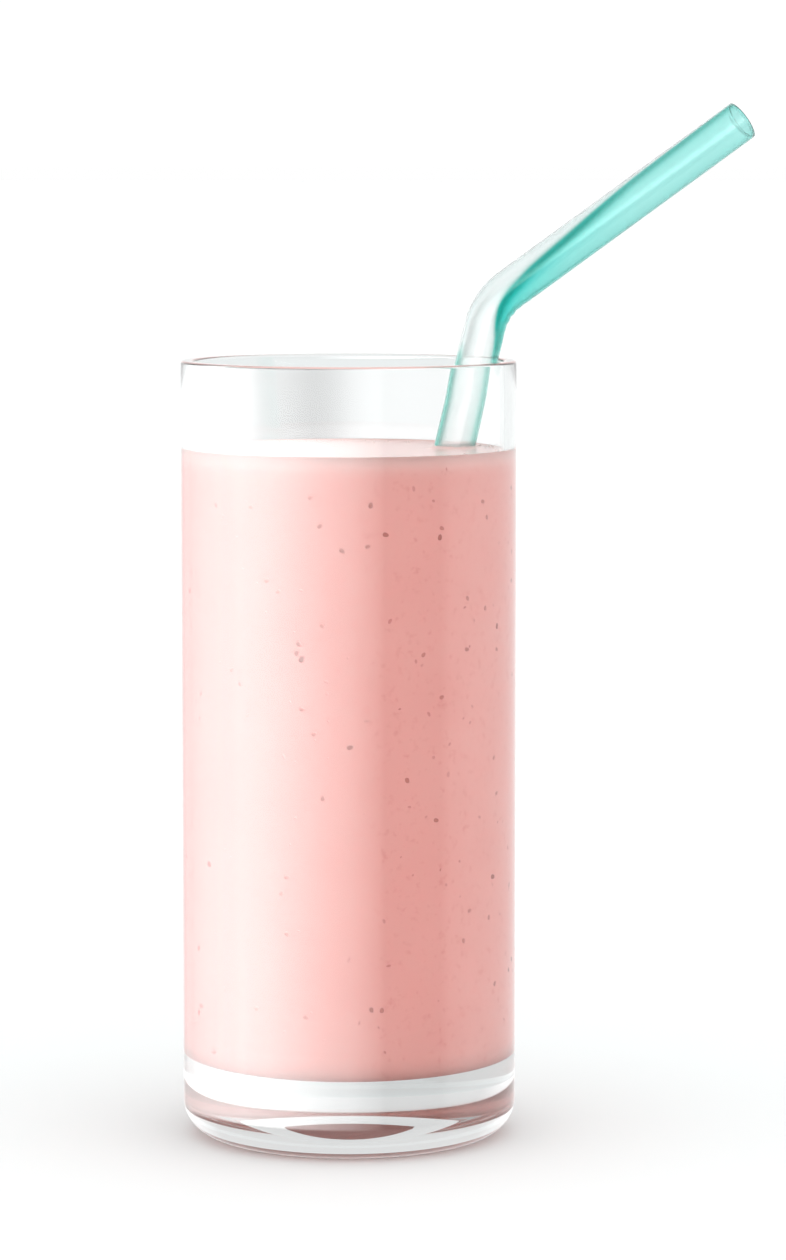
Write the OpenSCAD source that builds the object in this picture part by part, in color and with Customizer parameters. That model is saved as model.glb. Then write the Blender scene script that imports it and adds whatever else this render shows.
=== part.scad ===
// Strawberry smoothie in a straight highball tumbler, with a bent drinking straw.
// Millimetres, +Z up. The origin is the middle of the foot that the glass stands on.

/* [Glass] */
// Outer diameter of the tumbler
glass_d = 70; // [60:1:90]
// Height of the tumbler from foot to lip
glass_h = 162.8; // [120:0.1:200]
// Thickness of the side wall
wall = 2.6; // [2:0.1:4]
// Thickness of the heavy base, from the foot to the inner floor
base_t = 16.4; // [12:0.1:20]
// Radius of the rounding between inner wall and floor
floor_r = 5; // [2:0.5:10]
// Radius of the rounding round the outer heel
heel_r = 7.5; // [3:0.1:8]
// Diameter of the domed hollow under the base
punt_d = 48; // [20:1:50]
// Depth of the domed hollow under the base
punt_depth = 5; // [0.5:0.1:6]

/* [Smoothie] */
// Distance from the lip down to the surface of the drink
headroom = 18.7; // [12:0.1:50]
// Gap between the drink and what it touches
drink_gap = 0.05; // [0.02:0.01:0.1]

/* [Straw] */
// Outer diameter of the straw
straw_d = 8.8; // [6:0.1:11]
// Thickness of the straw's wall
straw_wall = 0.4; // [0.3:0.05:0.6]
// How far the straw's middle line meets the floor behind the glass's axis
foot_back = 9.1; // [0:0.1:12]
// Height of the bend's corner above the lip
bend_rise = 11.5; // [9:0.5:30]
// Radius of the bend, along the middle of the straw
bend_r = 14; // [10:0.5:20]
// Angle of the upper arm above level, in degrees
arm_rise = 34.5; // [20:0.1:60]
// Length of the upper arm from the bend's corner to its open end
arm_len = 67.6; // [30:0.1:90]
// Turn of the whole straw about the glass's axis, in degrees
straw_turn = 16; // [-30:1:30]
// Gap between the straw and the lip and floor that carry it
straw_gap = 0.15; // [0.1:0.05:0.3]

/* [Hidden] */
$fn = 96;
// Reach of a cut past the face it cuts through
over = 1;

glass_r = glass_d / 2;
bore_r = glass_r - wall;
lip_r = wall / 2;
lip_z = glass_h - lip_r;
level_z = glass_h - headroom;
// Radius of the ball whose cap hollows the underside
punt_ball_r = (punt_d * punt_d / 4 + punt_depth * punt_depth) / (2 * punt_depth);

straw_r = straw_d / 2;
straw_bore_r = straw_r - straw_wall;
// The straw lies in one upright plane, x outwards and z up. Its middle line starts
// foot_back behind the axis, at floor height, and passes the middle of the lip's
// rounding at lip_reach: the lean from upright follows from the two.
lip_reach = straw_r + lip_r + straw_gap;
lip_run = glass_r - lip_r + foot_back;
lip_climb = lip_z - base_t;
lean = acos(lip_reach / norm([lip_run, lip_climb])) - atan2(lip_climb, lip_run);
foot_z = base_t + straw_gap + straw_r * sin(lean);
foot_x = (foot_z - base_t) * tan(lean) - foot_back;
bend_angle = 90 - lean - arm_rise;
bend_run = bend_r * tan(bend_angle / 2);
lower_len = (glass_h + bend_rise - foot_z) / cos(lean) - bend_run;
upper_len = arm_len - bend_run;
// Flat sides round the straw, and steps along its bend
straw_sides = 36;
bend_steps = 12;

// Half outline of an upright round body with a rounded lower edge
module half_round(r, z0, z1, edge_r) {
    translate([0, z0 + edge_r]) square([r, z1 - z0 - edge_r]);
    translate([0, z0]) square([r - edge_r, z1 - z0]);
    translate([r - edge_r, z0 + edge_r]) circle(edge_r);
}

// Straight tumbler wall with a full-round lip, on a thick base hollowed underneath
module glass() {
    color("gainsboro", 0.35) rotate_extrude() {
        difference() {
            half_round(glass_r, 0, lip_z, heel_r);
            half_round(bore_r, base_t, glass_h, floor_r);
            intersection() {
                translate([0, punt_depth - punt_ball_r]) circle(punt_ball_r);
                translate([0, -over]) square([glass_r, punt_depth + 2 * over]);
            }
        }
        translate([glass_r - lip_r, lip_z]) circle(lip_r);
    }
}

// A step along the straw's middle line is [x, z, tilt from upright]
function along(step, dist) =
    [step[0] + dist * sin(step[2]), step[1] + dist * cos(step[2]), step[2]];

// A step turned further over by an angle, round the bend's centre
function turned(step, angle) =
    [step[0] + bend_r * (cos(step[2]) - cos(step[2] + angle)),
     step[1] + bend_r * (sin(step[2] + angle) - sin(step[2])),
     step[2] + angle];

straw_foot = [foot_x, foot_z, lean];
bend_start = along(straw_foot, lower_len);
straw_steps = concat(
    [straw_foot],
    [for (i = [0:bend_steps]) turned(bend_start, bend_angle * i / bend_steps)],
    [along(turned(bend_start, bend_angle), upper_len)]);

// The points of one ring round the middle line, square to it
function ring(step, r) =
    [for (i = [0:straw_sides - 1])
        let (a = 360 * i / straw_sides)
            [step[0] + r * cos(a) * cos(step[2]), r * sin(a), step[1] - r * cos(a) * sin(step[2])]];

// Thin-walled straw leaning on the lip, with its arm bent outwards: its skin runs up
// the outside, over the open end and down the bore
module straw() {
    last = len(straw_steps) - 1;
    rings = concat(
        [for (i = [0:last]) ring(straw_steps[i], straw_r)],
        [for (i = [last:-1:0]) ring(straw_steps[i], straw_bore_r)]);
    count = len(rings);
    skin = [for (i = [0:count - 1], j = [0:straw_sides - 1])
        let (up = (i + 1) % count, on = (j + 1) % straw_sides)
            [i * straw_sides + j, up * straw_sides + j,
             up * straw_sides + on, i * straw_sides + on]];
    color("mediumturquoise", 0.6) rotate([0, 0, straw_turn])
        polyhedron(points = [for (one = rings) each one], faces = skin, convexity = 6);
}

// A round bar along the straw's straight lower length, starting past its foot
module straw_bar(r, past) {
    rotate([0, 0, straw_turn]) translate([foot_x, 0, foot_z]) rotate([0, lean, 0])
        translate([0, 0, -past]) cylinder(h = lower_len + past, r = r);
}

// The drink fills the tumbler up to its level, outside the straw and inside it
module smoothie() {
    color("lightpink") difference() {
        rotate_extrude()
            half_round(bore_r - drink_gap, base_t + drink_gap, level_z, floor_r - drink_gap);
        difference() {
            straw_bar(straw_r + drink_gap, drink_gap);
            straw_bar(straw_bore_r - drink_gap, over);
        }
    }
}

glass();
smoothie();
straw();
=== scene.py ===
"""A strawberry smoothie in a straight highball tumbler, with a bent drinking straw.

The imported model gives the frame: the main sizes below repeat the part's own source, in metres.
Glass, drink and straw are turned or swept surfaces worked out with numpy. Seeds, fruit flecks
and froth bubbles are placed on the drink at their true size.
"""
import logging
import math
from dataclasses import dataclass, field
from enum import Enum

import bpy
import numpy as np
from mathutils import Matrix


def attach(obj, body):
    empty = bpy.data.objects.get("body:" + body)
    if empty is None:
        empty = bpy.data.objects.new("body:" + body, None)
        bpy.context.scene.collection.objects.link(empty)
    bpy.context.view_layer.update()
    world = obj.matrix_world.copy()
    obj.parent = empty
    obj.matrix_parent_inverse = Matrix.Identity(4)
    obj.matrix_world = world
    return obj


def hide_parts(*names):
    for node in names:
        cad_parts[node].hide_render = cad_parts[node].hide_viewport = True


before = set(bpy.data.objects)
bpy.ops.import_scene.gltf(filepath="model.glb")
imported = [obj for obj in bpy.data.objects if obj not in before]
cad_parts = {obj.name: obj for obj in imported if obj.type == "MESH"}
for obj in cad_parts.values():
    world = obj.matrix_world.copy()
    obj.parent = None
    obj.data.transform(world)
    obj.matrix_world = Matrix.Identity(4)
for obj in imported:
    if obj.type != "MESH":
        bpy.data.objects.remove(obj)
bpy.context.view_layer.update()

LOG = logging.getLogger("smoothie")
MM = 0.001


# ---------------------------------------------------------------- colours, nodes and meshes


def srgb(code: str) -> tuple[float, float, float, float]:
    """Turns an sRGB hex colour into linear RGBA.

    Args:
        code: Six hex digits.

    Returns:
        Linear red, green, blue and an alpha of one.
    """
    parts = [int(code[i:i + 2], 16) / 255 for i in (0, 2, 4)]
    linear = [p / 12.92 if p <= 0.04045 else ((p + 0.055) / 1.055) ** 2.4 for p in parts]
    return (*linear, 1.0)


def add_node(tree: bpy.types.NodeTree, kind: str, settings: dict | None = None,
             values: dict | None = None, links: dict | None = None) -> bpy.types.Node:
    """Adds one shader node with its settings, socket values and incoming links.

    Args:
        tree: Node tree that takes the node.
        kind: Node type without the "ShaderNode" in front.
        settings: Properties of the node itself.
        values: Socket name or index to a fixed value.
        links: Socket name or index to the output socket that feeds it.

    Returns:
        The new node.
    """
    node = tree.nodes.new("ShaderNode" + kind)
    for key, value in (settings or {}).items():
        setattr(node, key, value)
    for key, value in (values or {}).items():
        node.inputs[key].default_value = value
    for key, source in (links or {}).items():
        tree.links.new(source, node.inputs[key])
    return node


def set_ramp(node: bpy.types.Node, stops: list[tuple[float, tuple]]) -> None:
    """Puts (place, colour) stops on a Color Ramp node."""
    ramp = node.color_ramp
    while len(ramp.elements) < len(stops):
        ramp.elements.new(0.5)
    for element, (place, colour) in zip(ramp.elements, stops):
        element.position, element.color = place, colour


def new_material(name: str) -> tuple[bpy.types.Material, bpy.types.NodeTree, bpy.types.Node]:
    """Makes an empty node material.

    Args:
        name: Name of the finish.

    Returns:
        The material, its node tree and its output node.
    """
    material = bpy.data.materials.new(name)
    material.use_nodes = True
    tree = material.node_tree
    tree.nodes.clear()
    return material, tree, add_node(tree, "OutputMaterial")


def link_mesh(name: str, points: np.ndarray, faces: list) -> bpy.types.Object:
    """Puts points and faces into a smooth-shaded object at the origin.

    Args:
        name: Name of the piece.
        points: Array of n by 3 in metres.
        faces: Lists of point numbers, counterclockwise from outside.

    Returns:
        The linked object.
    """
    mesh = bpy.data.meshes.new(name)
    mesh.from_pydata(points.tolist(), [], faces)
    mesh.polygons.foreach_set("use_smooth", np.ones(len(mesh.polygons), dtype=bool))
    mesh.update()
    piece = bpy.data.objects.new(name, mesh)
    bpy.context.scene.collection.objects.link(piece)
    return piece


def grid_faces(rows: int, columns: int, closed_rows: bool = False) -> np.ndarray:
    """Quads of a grid that closes on itself along its columns.

    Quad (i, j) joins rows i and i + 1 at columns j and j + 1, counted round.

    Args:
        rows: Number of rings.
        columns: Points in each ring.
        closed_rows: Whether the last ring joins the first.

    Returns:
        Array of quads by 4 point numbers.
    """
    steps = np.arange(rows if closed_rows else rows - 1)
    i, j = np.meshgrid(steps, np.arange(columns), indexing="ij")
    up, on = (i + 1) % rows, (j + 1) % columns
    quads = np.stack([i * columns + j, i * columns + on, up * columns + on, up * columns + j], -1)
    return quads.reshape(-1, 4)


def turned(profile: np.ndarray, columns: int) -> tuple[np.ndarray, list]:
    """Turns a half outline about the upright axis: point = (r cos a, r sin a, z).

    The outline's first and last points lie on the axis and become single poles.

    Args:
        profile: Array of n by 2, radius and height in metres, from the lower pole outwards.
        columns: Steps round the axis.

    Returns:
        The points and the faces of the closed surface.
    """
    angle = np.linspace(0, 2 * np.pi, columns, endpoint=False)
    radius, height = profile[1:-1, 0:1], profile[1:-1, 1:2]
    rings = np.stack([radius * np.cos(angle), radius * np.sin(angle),
                      np.broadcast_to(height, (len(height), columns))], -1).reshape(-1, 3)
    count = len(rings)
    points = np.vstack([rings, [0, 0, profile[0, 1]], [0, 0, profile[-1, 1]]])
    j = np.arange(columns)
    on = (j + 1) % columns
    last = count - columns
    lower = np.stack([np.full(columns, count), on, j], -1)
    upper = np.stack([last + j, last + on, np.full(columns, count + 1)], -1)
    faces = grid_faces(len(height), columns).tolist() + lower.tolist() + upper.tolist()
    return points, faces


def arc(centre: tuple[float, float], radius: float, start: float, end: float,
        steps: int) -> np.ndarray:
    """Points of an arc, centre + radius (cos a, sin a), with a from start to end in degrees."""
    a = np.radians(np.linspace(start, end, steps + 1))
    return np.stack([centre[0] + radius * np.cos(a), centre[1] + radius * np.sin(a)], -1)


def line(start: tuple[float, float], end: tuple[float, float], steps: int) -> np.ndarray:
    """Evenly spaced points from start to end."""
    share = np.linspace(0, 1, steps + 1)[:, None]
    return np.asarray(start) * (1 - share) + np.asarray(end) * share


def joined(*parts: np.ndarray) -> np.ndarray:
    """Strings outlines together and drops points that repeat the one before them."""
    path = np.vstack(parts)
    keep = np.r_[True, np.linalg.norm(np.diff(path, axis=0), axis=1) > 1e-7]
    return path[keep]


def smooth_step(low: float, high: float, value: np.ndarray) -> np.ndarray:
    """Rises from 0 at low to 1 at high along 3 t^2 - 2 t^3."""
    t = np.clip((value - low) / (high - low), 0, 1)
    return t * t * (3 - 2 * t)


def set_colour(piece: bpy.types.Object, name: str, colours: np.ndarray) -> None:
    """Stores one linear RGB colour for each point of a piece.

    Args:
        piece: Mesh object.
        name: Name of the attribute that its material reads.
        colours: Array of points by 3.
    """
    rgba = np.concatenate([colours, np.ones((len(colours), 1))], 1).astype(np.float32)
    made = piece.data.attributes.new(name, "FLOAT_COLOR", "POINT")
    made.data.foreach_set("color", rgba.ravel())


# ---------------------------------------------------------------- finishes


@dataclass(frozen=True)
class SodaLimeGlass:
    """Clear pressed and fire-polished soda-lime glass: sharp reflections, hardly any tint.

    The wall looks clear, and the thick base greys what is seen through its whole width.
    """

    tint: str = "fefefe"
    ior: float = 1.5
    # Share of light left after the base's 70 mm is exp(-0.07 * density * (1 - body)).
    body: str = "e9ebeb"
    density: float = 17.0

    def make(self) -> bpy.types.Material:
        """Builds the glass."""
        material, tree, out = new_material("soda_lime_glass")
        shader = add_node(tree, "BsdfPrincipled", values={
            "Base Color": srgb(self.tint), "Roughness": 0.0, "IOR": self.ior,
            "Transmission Weight": 1.0})
        depth = add_node(tree, "VolumeAbsorption", values={
            "Color": srgb(self.body), "Density": self.density})
        tree.links.new(depth.outputs[0], out.inputs["Volume"])
        tree.links.new(shader.outputs[0], out.inputs["Surface"])
        return material


class DrinkFace(Enum):
    """Which part of the drink a finish is for."""

    WALL = "against the glass"
    TOP = "open surface"


@dataclass(frozen=True)
class BlendedSmoothie:
    """Strawberries blended with milk: an opaque pink liquid with fine pulp, wet where it is open."""

    level_mm: float
    pink: str = "efb1aa"
    pulp: str = "e39992"
    milky: str = "f5c0b9"
    froth: str = "f3cbc5"
    froth_depth_mm: float = 4.6
    froth_share: float = 0.85
    dimple_mm: float = 0.9
    pulp_mm: float = 1.6
    cloud_mm: float = 16.0
    scatter_mm: float = 1.2

    def make(self, face: DrinkFace) -> bpy.types.Material:
        """Builds the drink's finish.

        Args:
            face: The part of the drink it covers.

        Returns:
            The material.
        """
        material, tree, out = new_material("blended_smoothie_" + face.name.lower())
        place = add_node(tree, "TexCoord")
        # Slow clouds show where more milk or more fruit has gathered.
        cloud = add_node(tree, "TexNoise", values={"Scale": 1000 / self.cloud_mm, "Detail": 2.0},
                         links={"Vector": place.outputs["Object"]})
        body = add_node(tree, "Mix", {"data_type": "RGBA"}, {6: srgb(self.pink), 7: srgb(self.milky)})
        share = add_node(tree, "MapRange", values={"From Min": 0.35, "From Max": 0.75, "To Max": 0.3},
                         links={"Value": cloud.outputs[0]})
        tree.links.new(share.outputs[0], body.inputs[0])
        # Pulp shows as soft redder flecks.
        grain = add_node(tree, "TexNoise", values={"Scale": 1000 / self.pulp_mm, "Detail": 3.0,
                                                   "Roughness": 0.6},
                         links={"Vector": place.outputs["Object"]})
        fleck = add_node(tree, "MapRange", values={"From Min": 0.56, "From Max": 0.74, "To Max": 0.55},
                         links={"Value": grain.outputs[0]})
        colour = add_node(tree, "Mix", {"data_type": "RGBA"}, {7: srgb(self.pulp)},
                          {0: fleck.outputs[0], 6: body.outputs[2]})
        # The top few millimetres hold fine froth, which pales the drink towards its surface.
        height = add_node(tree, "SeparateXYZ", links={0: place.outputs["Object"]})
        rise = add_node(tree, "MapRange", {"interpolation_type": "SMOOTHSTEP"}, {
            "From Min": (self.level_mm - self.froth_depth_mm) * MM,
            "From Max": (self.level_mm + 0.4) * MM, "To Max": self.froth_share},
            {"Value": height.outputs[2]})
        colour = add_node(tree, "Mix", {"data_type": "RGBA"}, {7: srgb(self.froth)},
                          {0: rise.outputs[0], 6: colour.outputs[2]})
        shader = add_node(tree, "BsdfPrincipled", values={
            "Subsurface Weight": 0.15, "Subsurface Scale": self.scatter_mm * MM,
            "Subsurface Radius": (1.0, 0.45, 0.4)}, links={"Base Color": colour.outputs[2]})
        if face is DrinkFace.TOP:
            # Froth of about a millimetre dimples the open surface.
            froth = add_node(tree, "TexVoronoi", values={"Scale": 1000 / self.dimple_mm},
                             links={"Vector": place.outputs["Object"]})
            bump = add_node(tree, "Bump", values={"Strength": 0.35, "Distance": 0.05 * MM},
                            links={"Height": froth.outputs[0]})
            tree.links.new(bump.outputs["Normal"], shader.inputs["Normal"])
            shader.inputs["Roughness"].default_value = 0.22
            shader.inputs["IOR"].default_value = 1.36
        else:
            # Glass wets the drink, so there is no second reflection between them.
            shader.inputs["Roughness"].default_value = 0.9
            shader.inputs["Specular IOR Level"].default_value = 0.0
        tree.links.new(shader.outputs[0], out.inputs["Surface"])
        return material


@dataclass(frozen=True)
class TintedPolypropylene:
    """Extruded polypropylene tube, clear with a turquoise band: glossy, a little milky."""

    roughness: float = 0.09
    ior: float = 1.49

    def make(self) -> bpy.types.Material:
        """Builds the straw's plastic, which reads its tints from the piece."""
        material, tree, out = new_material("tinted_polypropylene")
        face_on = add_node(tree, "Attribute", {"attribute_name": "tint"})
        edge_on = add_node(tree, "Attribute", {"attribute_name": "tint_edge"})
        # A ray that grazes the wall runs through more plastic, so the tint is deeper there.
        rim = add_node(tree, "LayerWeight", values={"Blend": 0.5})
        power = add_node(tree, "Math", {"operation": "POWER"}, {1: 1.25}, {0: rim.outputs["Facing"]})
        colour = add_node(tree, "Mix", {"data_type": "RGBA"}, links={
            0: power.outputs[0], 6: face_on.outputs["Color"], 7: edge_on.outputs["Color"]})
        shader = add_node(tree, "BsdfPrincipled", values={
            "Roughness": self.roughness, "IOR": self.ior, "Transmission Weight": 0.9},
            links={"Base Color": colour.outputs[2]})
        tree.links.new(shader.outputs[0], out.inputs["Surface"])
        return material


@dataclass(frozen=True)
class WetSpeck:
    """Wet seed husk, fruit flesh or froth film: the piece's own colours, faintly mottled."""

    roughness: float = 0.45
    grain_mm: float = 0.35

    def make(self, name: str) -> bpy.types.Material:
        """Builds a finish that mottles the piece's own colours.

        Args:
            name: Name of the finish.

        Returns:
            The material.
        """
        material, tree, out = new_material(name)
        own = add_node(tree, "Attribute", {"attribute_name": "shade"})
        place = add_node(tree, "TexCoord")
        grain = add_node(tree, "TexNoise", values={"Scale": 1000 / self.grain_mm},
                         links={"Vector": place.outputs["Object"]})
        level = add_node(tree, "MapRange", values={"To Min": 0.86, "To Max": 1.12},
                         links={"Value": grain.outputs[0]})
        colour = add_node(tree, "VectorMath", {"operation": "SCALE"},
                          links={0: own.outputs["Color"], "Scale": level.outputs[0]})
        shader = add_node(tree, "BsdfPrincipled", values={
            "Roughness": self.roughness, "Specular IOR Level": 0.1},
            links={"Base Color": colour.outputs[0]})
        tree.links.new(shader.outputs[0], out.inputs["Surface"])
        return material


# ---------------------------------------------------------------- the tumbler


@dataclass
class Tumbler:
    """Straight highball glass with a rounded lip, a heavy base and a domed hollow under it."""

    radius: float = 35.0 * MM
    height: float = 162.8 * MM
    wall: float = 2.6 * MM
    base: float = 16.4 * MM
    floor_round: float = 5.0 * MM
    lip_round: float = 0.6 * MM
    heel_round: float = 7.5 * MM
    hollow_radius: float = 24.0 * MM
    hollow_depth: float = 5.0 * MM
    columns: int = 256
    # Kept inside the CAD box, whose round faces end exactly at the radius.
    trim: float = 0.01 * MM

    @property
    def bore(self) -> float:
        """Inner radius."""
        return self.radius - self.wall

    def outline(self) -> np.ndarray:
        """Half outline: ball cap of the hollow, flat foot, heel, wall, lip, bore and floor."""
        ball = (self.hollow_radius ** 2 + self.hollow_depth ** 2) / (2 * self.hollow_depth)
        reach = math.degrees(math.asin(self.hollow_radius / ball))
        outer = self.radius - self.trim
        lip = self.lip_round
        lip_z = self.height - lip
        heel = (outer - self.heel_round, self.heel_round)
        corner = (self.bore - self.floor_round, self.base + self.floor_round)
        cap = arc((0, self.hollow_depth - ball), ball, 90, 90 - reach, 20)
        return joined(
            cap,
            line((self.hollow_radius, 0), (heel[0], 0), 6),
            arc(heel, self.heel_round, -90, 0, 28),
            line((outer, self.heel_round), (outer, lip_z), 24),
            arc((outer - lip, lip_z), lip, 0, 90, 12),
            arc((self.bore + lip, lip_z), lip, 90, 180, 12),
            line((self.bore, lip_z), (self.bore, corner[1]), 24),
            arc(corner, self.floor_round, 0, -90, 20),
            line((corner[0], self.base), (0, self.base), 14))

    def build(self) -> bpy.types.Object:
        """Turns the outline and dresses it as glass."""
        points, faces = turned(self.outline(), self.columns)
        piece = link_mesh("tumbler", points, faces)
        piece.data.materials.append(SodaLimeGlass().make())
        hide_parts("glass")
        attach(piece, "root")
        return piece


# ---------------------------------------------------------------- the straw


@dataclass
class Straw:
    """Bent tube that leans on the lip at the back right and stands on the floor."""

    tumbler: Tumbler
    radius: float = 4.4 * MM
    wall: float = 0.4 * MM
    foot_back: float = 9.1 * MM
    bend_rise: float = 11.5 * MM
    bend_radius: float = 14.0 * MM
    arm_rise: float = math.radians(34.5)
    arm_length: float = 67.6 * MM
    turn: float = math.radians(16.0)
    gap: float = 0.15 * MM
    columns: int = 120
    # Kept inside the CAD box, whose tube ends exactly at the radius.
    trim: float = 0.02 * MM
    fold_depth: float = 0.16 * MM
    fold_pitch: float = 2.7 * MM
    # Tints of the plastic: clear part, turquoise band, a deeper line along its upper edge and a
    # painted shade line along its lower edge.
    tint_codes: dict = field(default_factory=lambda: {
        "clear": "fdfefe", "clear_edge": "e2f3f2", "deep": "6ee6df", "pale": "c4f6f2",
        "deep_edge": "3cc4b8", "line": "12a89b", "shadow": "8fc4bd", "lower_edge": "86ddd2"})
    lean: float = field(init=False)
    foot: np.ndarray = field(init=False)
    lower: float = field(init=False)
    bend: float = field(init=False)
    upper: float = field(init=False)

    def __post_init__(self) -> None:
        """Works out the lean from the two places that carry the straw: floor and lip."""
        cup = self.tumbler
        lip = cup.wall / 2
        reach = self.radius + lip + self.gap
        run = cup.radius - lip + self.foot_back
        climb = cup.height - lip - cup.base
        self.lean = math.acos(reach / math.hypot(run, climb)) - math.atan2(climb, run)
        foot_z = cup.base + self.gap + self.radius * math.sin(self.lean)
        self.foot = np.array([(foot_z - cup.base) * math.tan(self.lean) - self.foot_back, foot_z])
        self.bend = math.pi / 2 - self.lean - self.arm_rise
        run_up = self.bend_radius * math.tan(self.bend / 2)
        self.lower = (cup.height + self.bend_rise - foot_z) / math.cos(self.lean) - run_up
        self.upper = self.arm_length - run_up

    def middle(self, along: np.ndarray) -> tuple[np.ndarray, np.ndarray]:
        """Middle line: straight, then a circular bend, then straight again.

        Args:
            along: Lengths from the foot.

        Returns:
            Places in the straw's plane (n by 2) and tilts from upright (n).
        """
        bent = self.bend_radius * self.bend
        first = np.minimum(along, self.lower)
        turn = np.clip((along - self.lower) / bent, 0, 1) * self.bend
        last = np.maximum(along - self.lower - bent, 0)
        tilt = self.lean + turn
        x = (self.foot[0] + first * math.sin(self.lean)
             + self.bend_radius * (math.cos(self.lean) - np.cos(tilt)) + last * np.sin(tilt))
        z = (self.foot[1] + first * math.cos(self.lean)
             + self.bend_radius * (np.sin(tilt) - math.sin(self.lean)) + last * np.cos(tilt))
        return np.stack([x, z], -1), tilt

    def skin(self, along: np.ndarray, around: np.ndarray, radius: float) -> np.ndarray:
        """Tube surface: middle + r (cos a outwards + sin a backwards), creased inside the bend.

        Args:
            along: Lengths from the foot, one for each ring.
            around: Angles round the tube, 0 on the inner side of the bend.
            radius: Radius of the ring.

        Returns:
            Array of rings by columns by 3.
        """
        place, tilt = self.middle(along)
        mid = self.lower + self.bend_radius * self.bend / 2
        span = self.bend_radius * self.bend * 0.62
        # Soft folds gather on the short side of the bend, where the tube is pushed together.
        short_side = np.clip(np.cos(around), 0, 1) ** 1.5
        gather = np.exp(-((along - mid) / span) ** 2)[:, None] * short_side
        folds = 0.5 + 0.5 * np.cos((along - mid)[:, None] / self.fold_pitch * 2 * np.pi)
        r = radius - self.fold_depth * gather * folds
        x = place[:, 0:1] + r * np.cos(around) * np.cos(tilt)[:, None]
        y = r * np.sin(around)
        z = place[:, 1:2] - r * np.cos(around) * np.sin(tilt)[:, None]
        c, s = math.cos(self.turn), math.sin(self.turn)
        return np.stack([x * c - y * s, x * s + y * c, z], -1)

    def tints(self, along: np.ndarray, around: np.ndarray) -> tuple[np.ndarray, np.ndarray]:
        """Colours of the plastic, face on and at grazing angles, with a painted shade line along the
        band's lower edge.

        The turquoise band winds slowly and widens from about a fifth of the tube's round at the
        lip to nearly half of it at the open end. It is deepest near the bend and pales outwards.

        Args:
            along: Lengths from the foot.
            around: Angles round the tube.

        Returns:
            Two arrays of rings by columns by 3, linear RGB.
        """
        lip = (self.tumbler.height - self.foot[1]) / math.cos(self.lean)
        past = (along - lip) / MM
        # Edges of the band as angles from the inner side, counted through the front.
        stops = [-4, 4, 12, 22, 33, 44, 52, 80]
        upper = np.radians(np.interp(past, stops, [62, 66, 96, 120, 134, 150, 160, 178]))[:, None]
        lower = np.radians(np.interp(past, stops, [-12, -12, -16, -14, -8, 0, 6, 14]))[:, None]
        # Angle of each point, counted the same way, from -120 to 240 degrees.
        front = (np.mod(-around + np.radians(120), 2 * np.pi) - np.radians(120))[None, :]
        soft = math.radians(4)
        band = smooth_step(-soft, soft, upper - front) * smooth_step(-soft, soft, front - lower)
        inwards = np.maximum(upper - front, 0)
        upper_line = np.exp(-((upper - front - math.radians(10)) / math.radians(15)) ** 2)
        lower_line = np.exp(-((front - lower - math.radians(10)) / math.radians(10)) ** 2)
        above = smooth_step(-2.0, 3.0, past)[:, None]
        depth = np.interp(past, [-2, 4, 12, 20, 30, 50, 80],
                          [1.2, 1.6, 1.5, 1.2, 0.8, 0.42, 0.34])[:, None]
        colour = {name: np.array(srgb(code)[:3]) for name, code in self.tint_codes.items()}
        # The band is deepest along its upper edge and pales over about a third of its width.
        fall = 0.5 + 0.75 * np.exp(-inwards / math.radians(38))
        strength = np.minimum(depth * fall, 1.3)[..., None]
        teal = colour["pale"] + (colour["deep"] - colour["pale"]) * strength
        share = (band * above)[..., None]
        face_on = colour["clear"] + (teal - colour["clear"]) * share
        edge_on = colour["clear_edge"] + (colour["deep_edge"] - colour["clear_edge"]) * share
        inside = 1 - above[..., None]
        edge_on = edge_on + (colour["lower_edge"] - edge_on) * inside
        fade = np.clip(0.35 + depth, 0, 1) * above
        # The lower line is painted shade; the upper line is a deeper tint of the plastic.
        for lines, tone in ((0.7 * lower_line, colour["shadow"]), (upper_line, colour["line"])):
            face_on = face_on + (tone - face_on) * (np.minimum(lines, 1) * fade)[..., None]
        # Inside the glass the tube shows a turquoise line down each of its sides.
        sides = np.exp(-((1 - np.abs(np.cos(around + self.turn))) / 0.2) ** 2)[None, :, None]
        face_on = face_on + (colour["lower_edge"] - face_on) * sides * inside
        return face_on, edge_on

    def build(self) -> bpy.types.Object:
        """Sweeps the outer and inner skins as one closed wall and stores the tints."""
        bent = self.bend_radius * self.bend
        along = np.concatenate([
            np.linspace(0, self.lower, 90, endpoint=False),
            np.linspace(self.lower, self.lower + bent, 70, endpoint=False),
            np.linspace(self.lower + bent, self.lower + bent + self.upper, 70)])
        around = np.linspace(0, 2 * np.pi, self.columns, endpoint=False)
        outer = self.skin(along, around, self.radius - self.trim)
        inner = self.skin(along[::-1], around, self.radius - self.wall)
        rings = np.concatenate([outer, inner])
        piece = link_mesh("bent_straw", rings.reshape(-1, 3),
                          grid_faces(len(rings), self.columns, closed_rows=True).tolist())
        face_on, edge_on = self.tints(along, around)
        for name, colours in (("tint", face_on), ("tint_edge", edge_on)):
            set_colour(piece, name, np.concatenate([colours, colours[::-1]]).reshape(-1, 3))
        piece.data.materials.append(TintedPolypropylene().make())
        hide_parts("straw")
        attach(piece, "root")
        return piece

    def crossing(self, height: float) -> tuple[np.ndarray, np.ndarray]:
        """Where the tube passes a level: its centre and the unit vector that it leans along."""
        x = self.foot[0] + (height - self.foot[1]) * math.tan(self.lean)
        out = np.array([math.cos(self.turn), math.sin(self.turn)])
        return x * out, out


# ---------------------------------------------------------------- the drink and what floats in it


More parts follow.
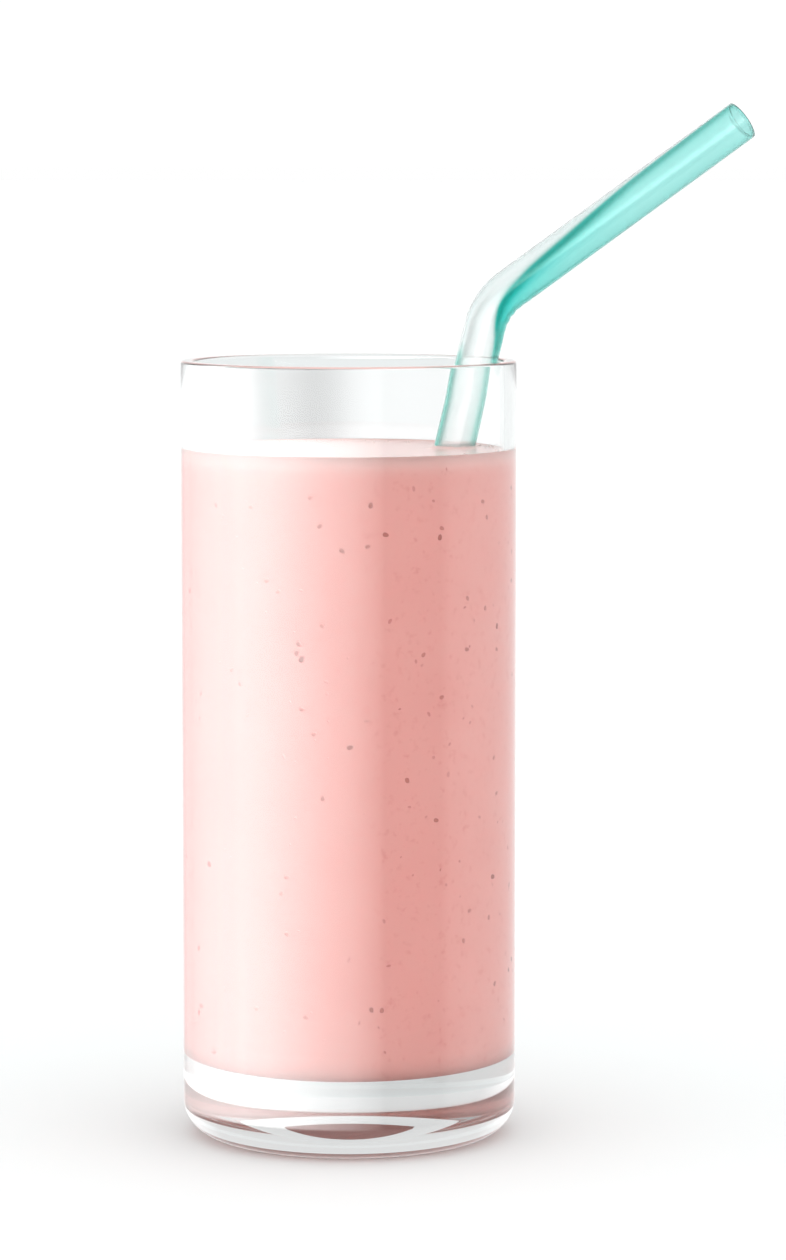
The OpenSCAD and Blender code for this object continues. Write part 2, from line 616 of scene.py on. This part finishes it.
@dataclass
class Drink:
    """The smoothie up to its level, wetting the glass and the straw."""

    tumbler: Tumbler
    straw: Straw
    headroom: float = 18.7 * MM
    # The drink reaches this far into the wall, so no air shows between them.
    reach: float = 0.08 * MM
    # Height that it creeps up the glass and up the straw, and how soon each falls away.
    creep: float = 0.5 * MM
    creep_fall: float = 1.1 * MM
    straw_creep: float = 0.7 * MM
    straw_fall: float = 0.9 * MM
    columns: int = 256

    @property
    def level(self) -> float:
        """Height of the open surface."""
        return self.tumbler.height - self.headroom

    def outline(self) -> np.ndarray:
        """Half outline: floor, its rounding, wall, creeping rim and open surface."""
        cup = self.tumbler
        side = cup.bore + self.reach
        low = cup.base - self.reach
        centre = (cup.bore - cup.floor_round, cup.base + cup.floor_round)
        inwards = np.concatenate([np.linspace(0, 5 * MM, 18), np.linspace(5 * MM, side, 70)[1:]])
        top = self.level + self.creep * np.exp(-inwards / self.creep_fall)
        return joined(
            line((0, low), (centre[0], low), 10),
            arc(centre, cup.floor_round + self.reach, -90, 0, 16),
            line((side, centre[1]), (side, self.level + self.creep), 40),
            np.stack([side - inwards, top], -1))

    def build(self) -> bpy.types.Object:
        """Turns the outline and lifts the surface where it wets the straw."""
        points, faces = turned(self.outline(), self.columns)
        centre, out = self.straw.crossing(self.level)
        away = points[:, :2] - centre
        along, across = away @ out, away @ np.array([-out[1], out[0]])
        ring = np.hypot(along * math.cos(self.straw.lean), across) - self.straw.radius
        surface = points[:, 2] > self.level - 1e-6
        inside = np.hypot(points[:, 0], points[:, 1]) < self.tumbler.bore - 0.5 * MM
        lift = self.straw_creep * np.exp(-np.abs(ring) / self.straw_fall)
        points[surface & inside, 2] += lift[surface & inside]
        piece = link_mesh("smoothie_body", points, faces)
        for face in DrinkFace:
            piece.data.materials.append(BlendedSmoothie(self.level / MM).make(face))
        normals = np.empty(len(piece.data.polygons) * 3, dtype=np.float32)
        middles = np.empty(len(piece.data.polygons) * 3, dtype=np.float32)
        piece.data.polygons.foreach_get("normal", normals)
        piece.data.polygons.foreach_get("center", middles)
        open_face = (normals[2::3] > 0.05) & (middles[2::3] > self.level - 1e-5)
        piece.data.polygons.foreach_set("material_index", open_face.astype(np.int32))
        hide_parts("smoothie")
        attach(piece, "root")
        return piece


# Rings between a unit shape's poles, and points in each.
RINGS, SIDES = 5, 8


def unit_grid() -> tuple[np.ndarray, np.ndarray]:
    """Angles of the unit shapes: u from pole to pole (rings by 1) and a round the axis."""
    u = np.linspace(0, np.pi, RINGS + 2)[1:-1, None]
    return u, np.linspace(0, 2 * np.pi, SIDES, endpoint=False)[None, :]


def seed_shape() -> np.ndarray:
    """Teardrop of unit length: r = 0.36 sin u (1 - 0.3 cos u) at 0.5 cos u along its axis."""
    u, a = unit_grid()
    r = 0.36 * np.sin(u) * (1 - 0.3 * np.cos(u))
    height = np.broadcast_to(0.5 * np.cos(u), (RINGS, SIDES))
    return np.stack([r * np.cos(a), height, r * np.sin(a)], -1).reshape(-1, 3)


def fleck_shape() -> np.ndarray:
    """Ragged flat lump of unit length: a ball whose radius has two and three waves round it."""
    u, a = unit_grid()
    r = 0.5 * np.sin(u) * (1 + 0.22 * np.cos(3 * a + 1) + 0.16 * np.cos(2 * a))
    height = 0.5 * np.cos(u) * (1 + 0.2 * np.cos(2 * a))
    return np.stack([r * np.cos(a), height, r * np.sin(a)], -1).reshape(-1, 3)


def bubble_shape() -> np.ndarray:
    """Ball of unit width: 0.5 (sin u cos a, cos u, sin u sin a)."""
    u, a = unit_grid()
    return 0.5 * np.stack([np.sin(u) * np.cos(a), np.broadcast_to(np.cos(u), (RINGS, SIDES)),
                           np.sin(u) * np.sin(a)], -1).reshape(-1, 3)


def scattered(name: str, shape: np.ndarray, places: np.ndarray, axes: np.ndarray,
              sizes: np.ndarray, shades: np.ndarray) -> bpy.types.Object:
    """Copies a closed unit shape to many places, as one piece.

    Point = place + x size_x axis_x + y size_y axis_y + z size_z axis_z.

    Args:
        name: Name of the piece.
        shape: The ring points of the unit shape; its poles are added at plus and minus 0.5 y.
        places: Array of n by 3.
        axes: Array of n by 3 by 3, one row for each of the shape's axes.
        sizes: Array of n by 3.
        shades: Array of n by 3, linear RGB.

    Returns:
        The piece.
    """
    ringed = RINGS * SIDES
    shape = np.vstack([shape, [0, 0.5, 0], [0, -0.5, 0]])
    points = places[:, None, :] + np.einsum("pk,nk,nkc->npc", shape, sizes, axes)
    j = np.arange(SIDES)
    on = (j + 1) % SIDES
    first = np.stack([np.full(SIDES, ringed), on, j], -1)
    last = np.stack([ringed - SIDES + j, ringed - SIDES + on, np.full(SIDES, ringed + 1)], -1)
    shift = (np.arange(len(places)) * len(shape))[:, None, None]
    faces = ((grid_faces(RINGS, SIDES)[None] + shift).reshape(-1, 4).tolist()
             + (np.vstack([first, last])[None] + shift).reshape(-1, 3).tolist())
    piece = link_mesh(name, points.reshape(-1, 3), faces)
    set_colour(piece, "shade", np.repeat(shades, len(shape), axis=0))
    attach(piece, "root")
    return piece


@dataclass
class Specks:
    """Seeds, fruit flecks and froth bubbles, at their true size and in drawn places."""

    drink: Drink
    seed: int = 11
    rng: np.random.Generator = field(init=False)
    # Sectors of the wall, in degrees to the right of the front, which is a little more crowded.
    front_seeds: int = 44
    front_sector: tuple = (-36, 70)
    other_seeds: int = 74
    other_sector: tuple = (72, 320)
    floating: int = 12
    flecks_on_wall: int = 240
    bubble_draws: int = 44

    def __post_init__(self) -> None:
        """Seeds the random draws."""
        self.rng = np.random.default_rng(self.seed)

    def on_wall(self, azimuth: np.ndarray, height: np.ndarray, depth: float
                ) -> tuple[np.ndarray, np.ndarray]:
        """Places and axes of things that lie flat against the glass, turned at random.

        Args:
            azimuth: Angles to the right of the front, in degrees.
            height: Heights in metres.
            depth: How far the middle lies inside the bore.

        Returns:
            Places (n by 3) and axes (n by 3 by 3): across, along and outwards.
        """
        a = np.radians(azimuth)
        out = np.stack([np.sin(a), -np.cos(a), np.zeros_like(a)], -1)
        side = np.stack([np.cos(a), np.sin(a), np.zeros_like(a)], -1)
        up = np.broadcast_to([0.0, 0.0, 1.0], out.shape)
        spin = self.rng.uniform(0, np.pi, len(a))[:, None]
        along = side * np.sin(spin) + up * np.cos(spin)
        across = np.cross(along, out)
        places = out * (self.drink.tumbler.bore - depth) + up * height[:, None]
        return places, np.stack([across, along, out], 1)

    def on_top(self, count: int, sunk: float) -> tuple[np.ndarray, np.ndarray]:
        """Places and axes of things that float, spread evenly over the surface clear of the straw.

        Args:
            count: How many draws are made; those on the straw are left out.
            sunk: How far the middle lies under the level.

        Returns:
            Places (n by 3) and axes (n by 3 by 3): across, along and upwards.
        """
        radius = (self.drink.tumbler.bore - 2 * MM) * np.sqrt(self.rng.uniform(0, 1, count))
        angle = self.rng.uniform(0, 2 * np.pi, count)
        spin = self.rng.uniform(0, np.pi, count)
        flat = np.stack([radius * np.cos(angle), radius * np.sin(angle)], -1)
        centre, _ = self.drink.straw.crossing(self.drink.level)
        keep = np.linalg.norm(flat - centre, axis=1) > self.drink.straw.radius + 2 * MM
        flat, spin = flat[keep], spin[keep]
        zero = np.zeros(len(flat))
        places = np.column_stack([flat, np.full(len(flat), self.drink.level - sunk)])
        along = np.stack([np.cos(spin), np.sin(spin), zero], -1)
        up = np.broadcast_to([0.0, 0.0, 1.0], along.shape)
        return places, np.stack([np.cross(along, up), along, up], 1)

    def seeds(self) -> bpy.types.Object:
        """Strawberry seeds of 1.4 to 1.8 mm against the glass and on the surface."""
        front = np.random.default_rng(self.seed + 1)
        sets = ((front, self.front_sector, self.front_seeds),
                (self.rng, self.other_sector, self.other_seeds))
        azimuth = np.concatenate([draw.uniform(*sector, count) for draw, sector, count in sets])
        height = np.concatenate([draw.uniform(22, 141, count) for draw, _, count in sets]) * MM
        plain = np.concatenate([draw.gamma(2.2, 4.0, count).clip(4, 26) for draw, _, count in sets])
        places, axes = self.on_wall(azimuth, height, -0.01 * MM)
        top_places, top_axes = self.on_top(self.floating, 0.1 * MM)
        plain = np.r_[plain, self.rng.uniform(6, 20, len(top_places))]
        share = (plain / 24).clip(0.15, 1)[:, None]
        length = (1.3 + 0.5 * share) * MM
        sizes = np.hstack([length, length, np.full_like(length, 0.36 * MM)])
        veil, husk = np.array(srgb("d9958d")[:3]), np.array(srgb("a9665e")[:3])
        piece = scattered("strawberry_seeds", seed_shape(), np.vstack([places, top_places]),
                          np.concatenate([axes, top_axes]), sizes, veil + (husk - veil) * share)
        piece.data.materials.append(WetSpeck().make("wet_seed_husk"))
        return piece

    def flecks(self) -> bpy.types.Object:
        """Bits of fruit flesh and skin of 0.5 to 2.5 mm, little darker than the drink."""
        count = self.flecks_on_wall
        azimuth = self.rng.uniform(-180, 180, count)
        height = self.rng.uniform(20, 142, count) * MM
        places, axes = self.on_wall(azimuth, height, 0.02 * MM)
        top_places, top_axes = self.on_top(self.floating, 0.12 * MM)
        total = len(places) + len(top_places)
        width = self.rng.uniform(0.5, 1.3, total) * MM
        length = width * self.rng.uniform(1.0, 1.9, total)
        sizes = np.stack([width, length, np.full(total, 0.3 * MM)], -1)
        share = self.rng.uniform(0, 1, total)[:, None]
        light, red = np.array(srgb("e4a39d")[:3]), np.array(srgb("d68c86")[:3])
        piece = scattered("fruit_flecks", fleck_shape(), np.vstack([places, top_places]),
                          np.concatenate([axes, top_axes]), sizes, light + (red - light) * share)
        piece.data.materials.append(WetSpeck(roughness=0.6).make("wet_fruit_flesh"))
        return piece

    def bubbles(self) -> bpy.types.Object:
        """Froth bubbles of 0.35 to 0.9 mm, gathered where the surface meets the glass."""
        count = self.bubble_draws
        angle = self.rng.uniform(0, 2 * np.pi, count)
        inwards = (0.7 + self.rng.gamma(1.3, 1.1, count)) * MM
        radius = self.drink.tumbler.bore - inwards
        width = self.rng.uniform(0.35, 0.9, count) * MM
        lift = self.drink.creep * np.exp(-inwards / self.drink.creep_fall)
        places = np.stack([radius * np.cos(angle), radius * np.sin(angle),
                           self.drink.level + lift - 0.15 * width], -1)
        centre, _ = self.drink.straw.crossing(self.drink.level)
        clear = np.linalg.norm(places[:, :2] - centre, axis=1) > self.drink.straw.radius + 1.2 * MM
        places, width = places[clear], width[clear]
        axes = np.broadcast_to(np.eye(3), (len(places), 3, 3))
        shades = np.tile(srgb("f8dedb")[:3], (len(places), 1))
        piece = scattered("froth_bubbles", bubble_shape(), places, axes,
                          np.repeat(width[:, None], 3, 1), shades)
        piece.data.materials.append(WetSpeck(roughness=0.15).make("froth_film"))
        return piece


# ---------------------------------------------------------------- studio


@dataclass
class Studio:
    """White table in a light tent, and the camera."""

    camera_place: tuple = (0.009238, -0.95, 0.202934)
    camera_down: float = 5.807
    view_height: float = 15.73
    floor_size: float = 60.0
    # Share of the tent's light that shows through the thick base.
    base_veil: float = 0.86
    # The table's tones: open, and painted shade through the base and behind the empty glass on each
    # side.
    table: str = "ecf0f0"
    painted_shade_under_base: str = "dadede"
    painted_shade_behind_left: str = "8c8e8e"
    painted_shade_behind_right: str = "e8eaea"

    def camera(self) -> None:
        """Sets the camera, level and a little above the drink."""
        lens = bpy.data.cameras.new("camera")
        lens.sensor_fit = "VERTICAL"
        lens.angle = math.radians(self.view_height)
        lens.clip_start = 0.01
        holder = bpy.data.objects.new("camera", lens)
        holder.location = self.camera_place
        holder.rotation_euler = (math.radians(90 - self.camera_down), 0, 0)
        bpy.context.scene.collection.objects.link(holder)
        bpy.context.scene.camera = holder

    def floor(self) -> None:
        """Lays the matt white table, which mirror reflections leave out so the tent shows, with
        painted shade where it is seen through the glass.
        """
        s = self.floor_size
        points = np.array([[-s, -s, 0], [s, -s, 0], [s, s, 0], [-s, s, 0]], dtype=float)
        table = link_mesh("table", points, [[0, 1, 2, 3]])
        material, tree, out = new_material("matt_white_acrylic_painted_shade")
        shader = add_node(tree, "BsdfPrincipled", values={
            "Roughness": 0.85, "Specular IOR Level": 0.1})
        # Painted shade: the table seen through the glass base is greyer.
        tone = add_node(tree, "Mix", {"data_type": "RGBA"}, {
            6: srgb(self.table), 7: srgb(self.painted_shade_under_base)}, {0: self.seen_through(tree, 1, 3)})
        # Painted shade: behind the empty part of the glass the table is greyer on the left than on the
        # right.
        place = add_node(tree, "TexCoord")
        axis = add_node(tree, "SeparateXYZ", links={0: place.outputs["Object"]})
        off = add_node(tree, "Math", {"operation": "SUBTRACT"}, {1: self.camera_place[0]},
                       {0: axis.outputs[0]})
        away = add_node(tree, "Math", {"operation": "SUBTRACT"}, {1: self.camera_place[1]},
                        {0: axis.outputs[1]})
        slope = add_node(tree, "Math", {"operation": "DIVIDE"},
                         links={0: off.outputs[0], 1: away.outputs[0]})
        side = add_node(tree, "MapRange", {"interpolation_type": "SMOOTHSTEP"}, {
            "From Min": -0.03, "From Max": 0.008}, {"Value": slope.outputs[0]})
        behind = add_node(tree, "Mix", {"data_type": "RGBA"}, {
            6: srgb(self.painted_shade_behind_left), 7: srgb(self.painted_shade_behind_right)}, {0: side.outputs[0]})
        # This only holds in front of the camera, within a few degrees.
        spread = add_node(tree, "Math", {"operation": "ABSOLUTE"}, links={0: slope.outputs[0]})
        narrow = add_node(tree, "MapRange", values={
            "From Min": 0.06, "From Max": 0.12, "To Min": 1.0, "To Max": 0.0},
            links={"Value": spread.outputs[0]})
        ahead = add_node(tree, "Math", {"operation": "GREATER_THAN"}, {1: 0.0}, {0: axis.outputs[1]})
        share = add_node(tree, "Math", {"operation": "MULTIPLY"},
                         links={0: narrow.outputs[0], 1: ahead.outputs[0]})
        share = add_node(tree, "Math", {"operation": "MULTIPLY"},
                         links={0: share.outputs[0], 1: self.seen_through(tree, 4, 40)})
        tone = add_node(tree, "Mix", {"data_type": "RGBA"}, links={
            0: share.outputs[0], 6: tone.outputs[2], 7: behind.outputs[2]})
        tree.links.new(tone.outputs[2], shader.inputs["Base Color"])
        open_to = add_node(tree, "BsdfTransparent")
        surface = add_node(tree, "MixShader", links={
            0: self.mirrored(tree), 1: shader.outputs[0], 2: open_to.outputs[0]})
        tree.links.new(surface.outputs[0], out.inputs["Surface"])
        table.data.materials.append(material)

    @staticmethod
    def mirrored(tree: bpy.types.NodeTree) -> bpy.types.NodeSocket:
        """Output that is one for a ray mirrored before it has entered any glass."""
        path = add_node(tree, "LightPath")
        outside = add_node(tree, "Math", {"operation": "LESS_THAN"}, {1: 0.5},
                           {0: path.outputs["Transmission Depth"]})
        both = add_node(tree, "Math", {"operation": "MULTIPLY"},
                        links={0: path.outputs["Is Glossy Ray"], 1: outside.outputs[0]})
        return both.outputs[0]

    @staticmethod
    def seen_through(tree: bpy.types.NodeTree, least: int, most: int) -> bpy.types.NodeSocket:
        """Output that is one for the camera's own rays that have crossed least to most faces."""
        path = add_node(tree, "LightPath")
        tests = [("Transmission Depth", "GREATER_THAN", least - 0.5),
                 ("Transmission Depth", "LESS_THAN", most + 0.5), ("Diffuse Depth", "LESS_THAN", 0.5)]
        passed = [add_node(tree, "Math", {"operation": kind}, {1: level}, {0: path.outputs[name]})
                  for name, kind, level in tests]
        two = add_node(tree, "Math", {"operation": "MULTIPLY"},
                       links={0: passed[0].outputs[0], 1: passed[1].outputs[0]})
        return add_node(tree, "Math", {"operation": "MULTIPLY"},
                        links={0: two.outputs[0], 1: passed[2].outputs[0]}).outputs[0]

    def tent(self) -> None:
        """Lights the scene with a white tent.

        Above the horizon it is bright in front and white at the top. A strip round the horizon
        only shows in reflections: a broad light from the left and a paler one behind on the
        right, with a dark gap to the right of the camera. The azimuth is atan2(x, -y).
        """
        scene = bpy.context.scene
        world = bpy.data.worlds.new("light_tent")
        scene.world = world
        world.use_nodes = True
        tree = world.node_tree
        tree.nodes.clear()
        out = add_node(tree, "OutputWorld")
        view = add_node(tree, "TexCoord")
        axis = add_node(tree, "SeparateXYZ", links={0: view.outputs["Generated"]})
        minus = add_node(tree, "Math", {"operation": "MULTIPLY"}, {1: -1.0}, {0: axis.outputs[1]})
        azimuth = add_node(tree, "Math", {"operation": "ARCTAN2"},
                           links={0: axis.outputs[0], 1: minus.outputs[0]})
        share = add_node(tree, "MapRange", values={"From Min": -math.pi, "From Max": math.pi},
                         links={"Value": azimuth.outputs[0]})
        strip = [(-180, 1.1), (-158, 1.3), (-138, 2.8), (-125, 4.6), (-100, 9.1), (-81, 12.0),
                 (-72, 12.5), (-56, 12.0), (-48, 11.2), (-34, 9.4), (-20, 7.3), (-6, 5.4), (1, 4.8),
                 (8, 3.5), (14, 2.5), (21, 1.4), (25, 0.3), (66, 0.3), (74, 1.25), (92, 1.65),
                 (114, 1.5), (142, 1.3), (180, 1.1)]
        peak = 12.5
        low = self.ramp(tree, share, [(a, level / peak) for a, level in strip])
        low_light = add_node(tree, "Math", {"operation": "MULTIPLY"}, {1: peak}, {0: low.outputs[0]})
        sky = [(-180, 1.05), (-140, 1.05), (-100, 2.0), (-60, 3.0), (60, 3.0), (100, 2.0),
               (140, 1.05), (180, 1.05)]
        most = 3.0
        high = self.ramp(tree, share, [(a, level / most) for a, level in sky])
        band = add_node(tree, "Math", {"operation": "MULTIPLY"}, {1: most}, {0: high.outputs[0]})
        up = add_node(tree, "MapRange", values={"From Min": 0.35, "From Max": 0.6},
                      links={"Value": axis.outputs[2]})
        above = add_node(tree, "Mix", values={3: 1.0}, links={0: up.outputs[0], 2: band.outputs[0]})
        side = add_node(tree, "MapRange", values={"From Min": -0.34, "From Max": -0.24},
                        links={"Value": axis.outputs[2]})
        over = add_node(tree, "MapRange", values={
            "From Min": 0.1, "From Max": 0.18, "To Min": 1.0, "To Max": 0.0},
            links={"Value": axis.outputs[2]})
        band_share = add_node(tree, "Math", {"operation": "MULTIPLY"},
                              links={0: side.outputs[0], 1: over.outputs[0]})
        strip_share = add_node(tree, "Math", {"operation": "MULTIPLY"},
                               links={0: band_share.outputs[0], 1: self.mirrored(tree)})
        under = add_node(tree, "Math", {"operation": "LESS_THAN"}, {1: 0.0}, {0: axis.outputs[2]})
        plain = add_node(tree, "Mix", values={3: 1.0},
                         links={0: under.outputs[0], 2: above.outputs[0]})
        light = add_node(tree, "Mix", links={0: strip_share.outputs[0], 2: plain.outputs[0],
                                             3: low_light.outputs[0]})
        seen = add_node(tree, "Mix", values={2: 1.0, 3: self.base_veil},
                        links={0: self.seen_through(tree, 1, 3)})
        light = add_node(tree, "Math", {"operation": "MULTIPLY"},
                         links={0: light.outputs[0], 1: seen.outputs[0]})
        glow = add_node(tree, "Background", values={"Color": (1, 1, 1, 1)},
                        links={"Strength": light.outputs[0]})
        tree.links.new(glow.outputs[0], out.inputs["Surface"])

    @staticmethod
    def ramp(tree: bpy.types.NodeTree, share: bpy.types.Node, stops: list) -> bpy.types.Node:
        """Color Ramp over azimuth, from (degrees, level) stops."""
        node = add_node(tree, "ValToRGB", links={0: share.outputs[0]})
        set_ramp(node, [(a / 360 + 0.5, (v, v, v, 1)) for a, v in stops])
        return node

    def set_up(self) -> None:
        """Camera, table and tent, and the light paths that thick glass needs."""
        self.camera()
        self.floor()
        self.tent()
        scene = bpy.context.scene
        scene.view_settings.view_transform = "Standard"
        scene.cycles.max_bounces = 20
        scene.cycles.transmission_bounces = 20
        scene.cycles.glossy_bounces = 10


def main() -> None:
    """Builds the studio and the pieces in order and reports each piece."""
    logging.basicConfig(level=logging.INFO, format="%(name)s: %(message)s")
    Studio().set_up()
    tumbler = Tumbler()
    straw = Straw(tumbler)
    drink = Drink(tumbler, straw)
    specks = Specks(drink)
    for build in (tumbler.build, straw.build, drink.build,
                  specks.seeds, specks.flecks, specks.bubbles):
        piece = build()
        LOG.info("%s: %d faces", piece.name, len(piece.data.polygons))


if __name__ == "__main__":
    main()
